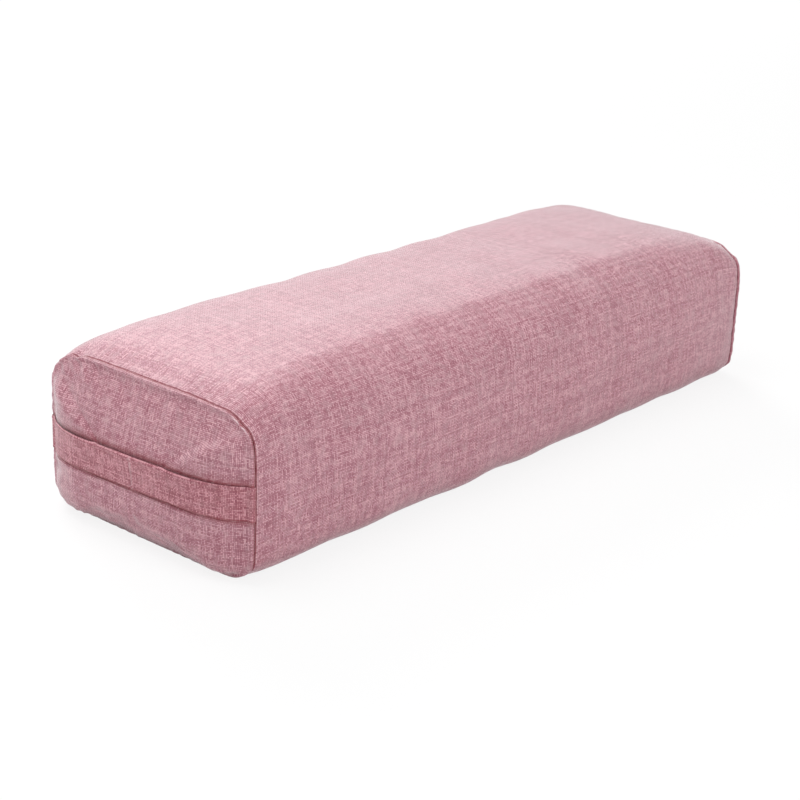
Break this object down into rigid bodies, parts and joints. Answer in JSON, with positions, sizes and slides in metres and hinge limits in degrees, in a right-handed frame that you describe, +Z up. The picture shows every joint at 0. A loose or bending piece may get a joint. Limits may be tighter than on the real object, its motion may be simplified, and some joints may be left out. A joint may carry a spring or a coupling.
{
  "type": "rectangular yoga bolster",
  "caption": "Firm rectangular floor cushion for yoga, with a cloth cover, a flat carry strap across one end and a zip along one long side.",
  "frame": {"origin": "middle of the flat underside, on the floor", "axes": "+X along the bolster, away from the end with the carry strap; +Y across it, towards the long side with the zip; +Z up"},
  "size_m": [0.693, 0.2367, 0.1485],
  "materials": {
    "cover_cloth": "matte",
    "strap_cloth": "matte",
    "case_cloth": "matte",
    "wadding": "matte",
    "foam": "matte",
    "zip_tape": "matte",
    "zip_teeth": "satin",
    "zip_metal": "satin"
  },
  "bodies": {
    "root": {"foam_core": "foam", "wadding_wrap": "wadding", "wadding_end_near": "wadding", "wadding_end_far": "wadding", "inner_case_wrap": "case_cloth", "inner_case_end_near": "case_cloth", "inner_case_end_far": "case_cloth", "cover_wrap": "cover_cloth", "cover_end_near": "cover_cloth", "cover_end_far": "cover_cloth", "zip_tape_upper": "zip_tape", "zip_tape_lower": "zip_tape", "zip_teeth_upper": "zip_teeth", "zip_teeth_lower": "zip_teeth", "zip_top_stop_upper": "zip_teeth", "zip_top_stop_lower": "zip_teeth", "zip_bottom_stop": "zip_teeth"},
    "handle": {"handle_strap": "strap_cloth"},
    "zip_slider": {"zip_slider": "zip_metal"},
    "zip_pull": {"zip_pull": "zip_metal"}
  },
  "joints": [
    {"name": "handle_lift", "type": "slide", "parent": "root", "child": "handle", "axis": [-1, 0, 0], "range_m": [0, 0.018]},
    {"name": "zip_slide", "type": "slide", "parent": "root", "child": "zip_slider", "axis": [1, 0, 0], "range_m": [0, 0.425], "deforming": ["zip_teeth_upper", "zip_teeth_lower"]},
    {"name": "pull_swing", "type": "hinge", "parent": "zip_slider", "child": "zip_pull", "pos_m": [-0.213, 0.11801, 0.03447], "axis": [0, 0.0097, 1], "range_deg": [0, 180]}
  ]
}
